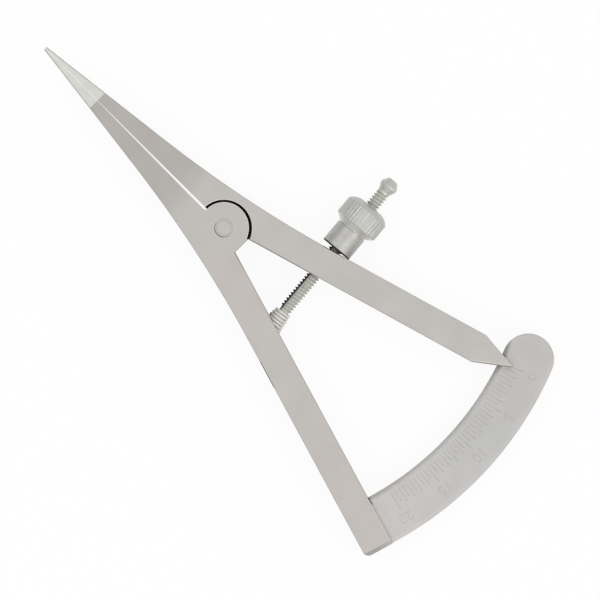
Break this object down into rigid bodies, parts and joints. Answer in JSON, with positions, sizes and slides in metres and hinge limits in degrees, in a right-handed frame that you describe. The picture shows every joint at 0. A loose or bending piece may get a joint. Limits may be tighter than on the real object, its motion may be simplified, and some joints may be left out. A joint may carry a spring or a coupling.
{
  "type": "surgical caliper",
  "caption": "Straight two-armed caliper with a graduated arc, an index pointer, and a knurled nut on a spring-footed screw that opens its fine tips.",
  "frame": {"origin": "under the middle of the closed caliper's outline, level with the thumb nut's rim", "axes": "+Y along the jaws to the tips, +X towards the pointer arm and the thumb nut, +Z out of the graduated face"},
  "size_m": [0.0406, 0.0872, 0.0067],
  "materials": {
    "arm_steel": "satin, fine brushed",
    "scale_steel": "matt satin",
    "rivet_steel": "satin",
    "screw_steel": "cut thread, bright",
    "bead_steel": "polished",
    "spring_steel": "drawn bright wire",
    "sleeve_steel": "turned satin",
    "nut_steel": "turned, straight knurl"
  },
  "bodies": {
    "scale_arm": {"scale_arm": "arm_steel", "scale_plate": "scale_steel", "pivot_rivet": "rivet_steel", "adjusting_screw": "screw_steel", "screw_end_stop": "bead_steel", "foot_spring": "spring_steel"},
    "pointer_arm": {"pointer_arm": "arm_steel"},
    "thrust_sleeve": {"thrust_sleeve": "sleeve_steel"},
    "thumb_nut": {"thumb_nut": "nut_steel"}
  },
  "joints": [
    {"name": "sleeve_slide", "type": "slide", "parent": "scale_arm", "child": "thrust_sleeve", "axis": [-0.9959, -0.0899, 0], "range_m": [0, 0.0075]},
    {"name": "nut_spin", "type": "hinge", "parent": "thrust_sleeve", "child": "thumb_nut", "pos_m": [-0.00043, -0.00674, 0.00335], "axis": [-0.9959, -0.0899, 0], "range_deg": [0, 5400]},
    {"name": "tip_opening", "type": "hinge", "parent": "scale_arm", "child": "pointer_arm", "pos_m": [-0.00171, 0.0074, 0.00335], "axis": [0, 0, -1], "range_deg": [0, 32.07], "deforming": ["foot_spring"]}
  ],
  "couplings": [
    {"joint": "nut_spin", "follows": "tip_opening", "ratio": 168.37},
    {"joint": "sleeve_slide", "follows": "tip_opening", "m_per_rad": 0.013399}
  ]
}
